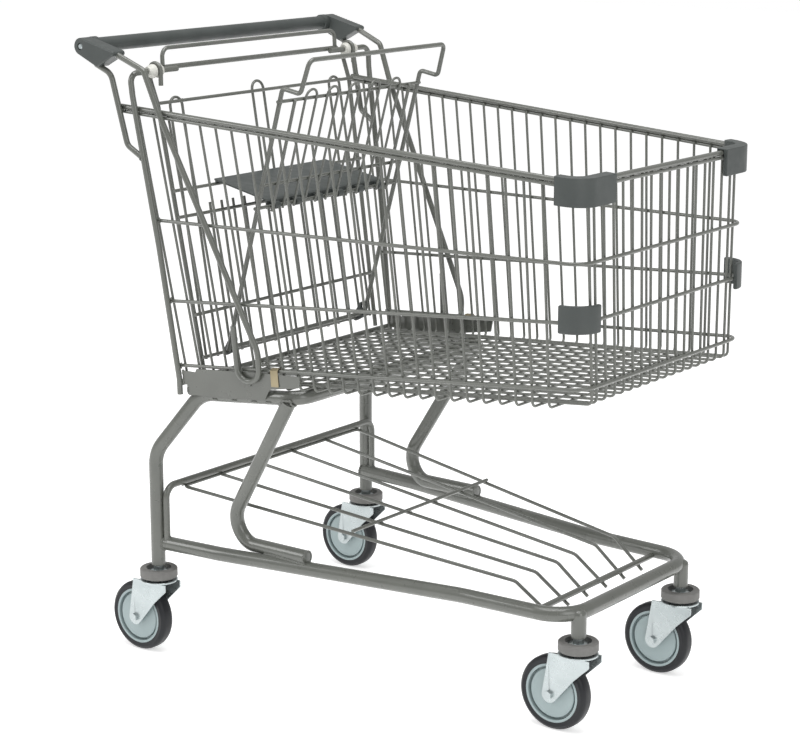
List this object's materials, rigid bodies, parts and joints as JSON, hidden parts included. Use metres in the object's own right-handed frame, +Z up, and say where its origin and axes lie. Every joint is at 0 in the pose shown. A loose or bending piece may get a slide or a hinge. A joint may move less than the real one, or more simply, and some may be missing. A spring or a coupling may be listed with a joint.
{
  "type": "rolling basket trolley",
  "caption": "Nesting wire basket trolley on swivel castors, with a hinged rear gate, folding child seat, lower tray and push handle.",
  "frame": {"origin": "on the floor under the middle of the trolley's bounding box", "axes": "+X forward, away from the handle; +Y to the trolley's left; +Z up"},
  "size_m": [0.9767, 0.676, 1.081],
  "materials": {
    "frame_coat": "semi-gloss grey powder coat",
    "guard_plastic": "fine satin grain",
    "bright_zinc": "bright zinc plate",
    "clip_zinc": "yellow zinc plate",
    "bushing_nylon": "natural nylon",
    "ring_rubber": "matt grey rubber",
    "tyre": "satin black rubber",
    "hub_plastic": "smooth grey"
  },
  "bodies": {
    "trolley_body": {"upper_frame_tube": "frame_coat", "base_tube": "frame_coat", "front_legs": "frame_coat", "front_sockets": "frame_coat", "side_plates": "frame_coat", "tray_hoop": "frame_coat", "tray_wires": "frame_coat", "tray_front_rod": "frame_coat", "side_wires_right": "frame_coat", "side_wires_left": "frame_coat", "front_wires": "frame_coat", "floor_cross_wires": "frame_coat", "floor_long_wires": "frame_coat", "floor_rear_rod": "frame_coat", "rim_rod": "frame_coat", "rim_wire": "frame_coat", "ring_upper": "frame_coat", "ring_middle": "frame_coat", "ring_lower": "frame_coat", "corner_rods": "frame_coat", "brace_rods": "frame_coat", "handle_rods": "frame_coat", "hinge_crossbar": "frame_coat", "retaining_clips": "clip_zinc", "hinge_bushings": "bushing_nylon", "upper_bumpers": "guard_plastic", "lower_bumpers": "guard_plastic", "handle_tube": "bright_zinc", "handle_sleeve": "guard_plastic", "handle_caps": "guard_plastic", "handle_screws": "bright_zinc", "castor_stems": "bright_zinc", "castor_dust_caps": "bright_zinc", "castor_rings": "ring_rubber"},
    "gate": {"gate_frame": "frame_coat", "gate_wires": "frame_coat", "pivot_hooks": "guard_plastic"},
    "seat_back": {"seat_back_frame": "frame_coat", "seat_back_wires": "frame_coat"},
    "seat_flap_body": {"seat_flap": "guard_plastic"},
    "swivel_rear_right": {"fork_rear_right": "bright_zinc", "axle_bolt_rear_right": "bright_zinc"},
    "wheel_rear_right": {"tyre_rear_right": "tyre", "hub_rear_right": "hub_plastic", "hub_covers_rear_right": "hub_plastic"},
    "swivel_rear_left": {"fork_rear_left": "bright_zinc", "axle_bolt_rear_left": "bright_zinc"},
    "wheel_rear_left": {"tyre_rear_left": "tyre", "hub_rear_left": "hub_plastic", "hub_covers_rear_left": "hub_plastic"},
    "swivel_front_right": {"fork_front_right": "bright_zinc", "axle_bolt_front_right": "bright_zinc"},
    "wheel_front_right": {"tyre_front_right": "tyre", "hub_front_right": "hub_plastic", "hub_covers_front_right": "hub_plastic"},
    "swivel_front_left": {"fork_front_left": "bright_zinc", "axle_bolt_front_left": "bright_zinc"},
    "wheel_front_left": {"tyre_front_left": "tyre", "hub_front_left": "hub_plastic", "hub_covers_front_left": "hub_plastic"}
  },
  "joints": [
    {"name": "gate_hinge", "type": "hinge", "parent": "trolley_body", "child": "gate", "pos_m": [-0.3755, 0, 1.025], "axis": [0, -1, 0], "range_deg": [0, 75]},
    {"name": "seat_back_hinge", "type": "hinge", "parent": "gate", "child": "seat_back", "pos_m": [-0.283, 0, 0.546], "axis": [0, -1, 0], "range_deg": [0, 17.5]},
    {"name": "seat_flap_hinge", "type": "hinge", "parent": "seat_back", "child": "seat_flap_body", "pos_m": [-0.21216, 0, 0.7975], "axis": [0, 1, 0], "range_deg": [0, 70]},
    {"name": "swivel_turn_rear_right", "type": "hinge", "parent": "trolley_body", "child": "swivel_rear_right", "pos_m": [-0.364, -0.295, 0.15], "axis": [0, 0, 1], "continuous": true},
    {"name": "wheel_spin_rear_right", "type": "hinge", "parent": "swivel_rear_right", "child": "wheel_rear_right", "pos_m": [-0.4055, -0.295, 0.0625], "axis": [0, 1, 0], "continuous": true},
    {"name": "swivel_turn_rear_left", "type": "hinge", "parent": "trolley_body", "child": "swivel_rear_left", "pos_m": [-0.364, 0.295, 0.15], "axis": [0, 0, 1], "continuous": true},
    {"name": "wheel_spin_rear_left", "type": "hinge", "parent": "swivel_rear_left", "child": "wheel_rear_left", "pos_m": [-0.4055, 0.295, 0.0625], "axis": [0, 1, 0], "continuous": true},
    {"name": "swivel_turn_front_right", "type": "hinge", "parent": "trolley_body", "child": "swivel_front_right", "pos_m": [0.427, -0.16, 0.15], "axis": [0, 0, 1], "continuous": true},
    {"name": "wheel_spin_front_right", "type": "hinge", "parent": "swivel_front_right", "child": "wheel_front_right", "pos_m": [0.3855, -0.16, 0.0625], "axis": [0, 1, 0], "continuous": true},
    {"name": "swivel_turn_front_left", "type": "hinge", "parent": "trolley_body", "child": "swivel_front_left", "pos_m": [0.427, 0.16, 0.15], "axis": [0, 0, 1], "continuous": true},
    {"name": "wheel_spin_front_left", "type": "hinge", "parent": "swivel_front_left", "child": "wheel_front_left", "pos_m": [0.3855, 0.16, 0.0625], "axis": [0, 1, 0], "continuous": true}
  ],
  "couplings": [
    {"joint": "seat_flap_hinge", "follows": "seat_back_hinge", "ratio": 4}
  ]
}
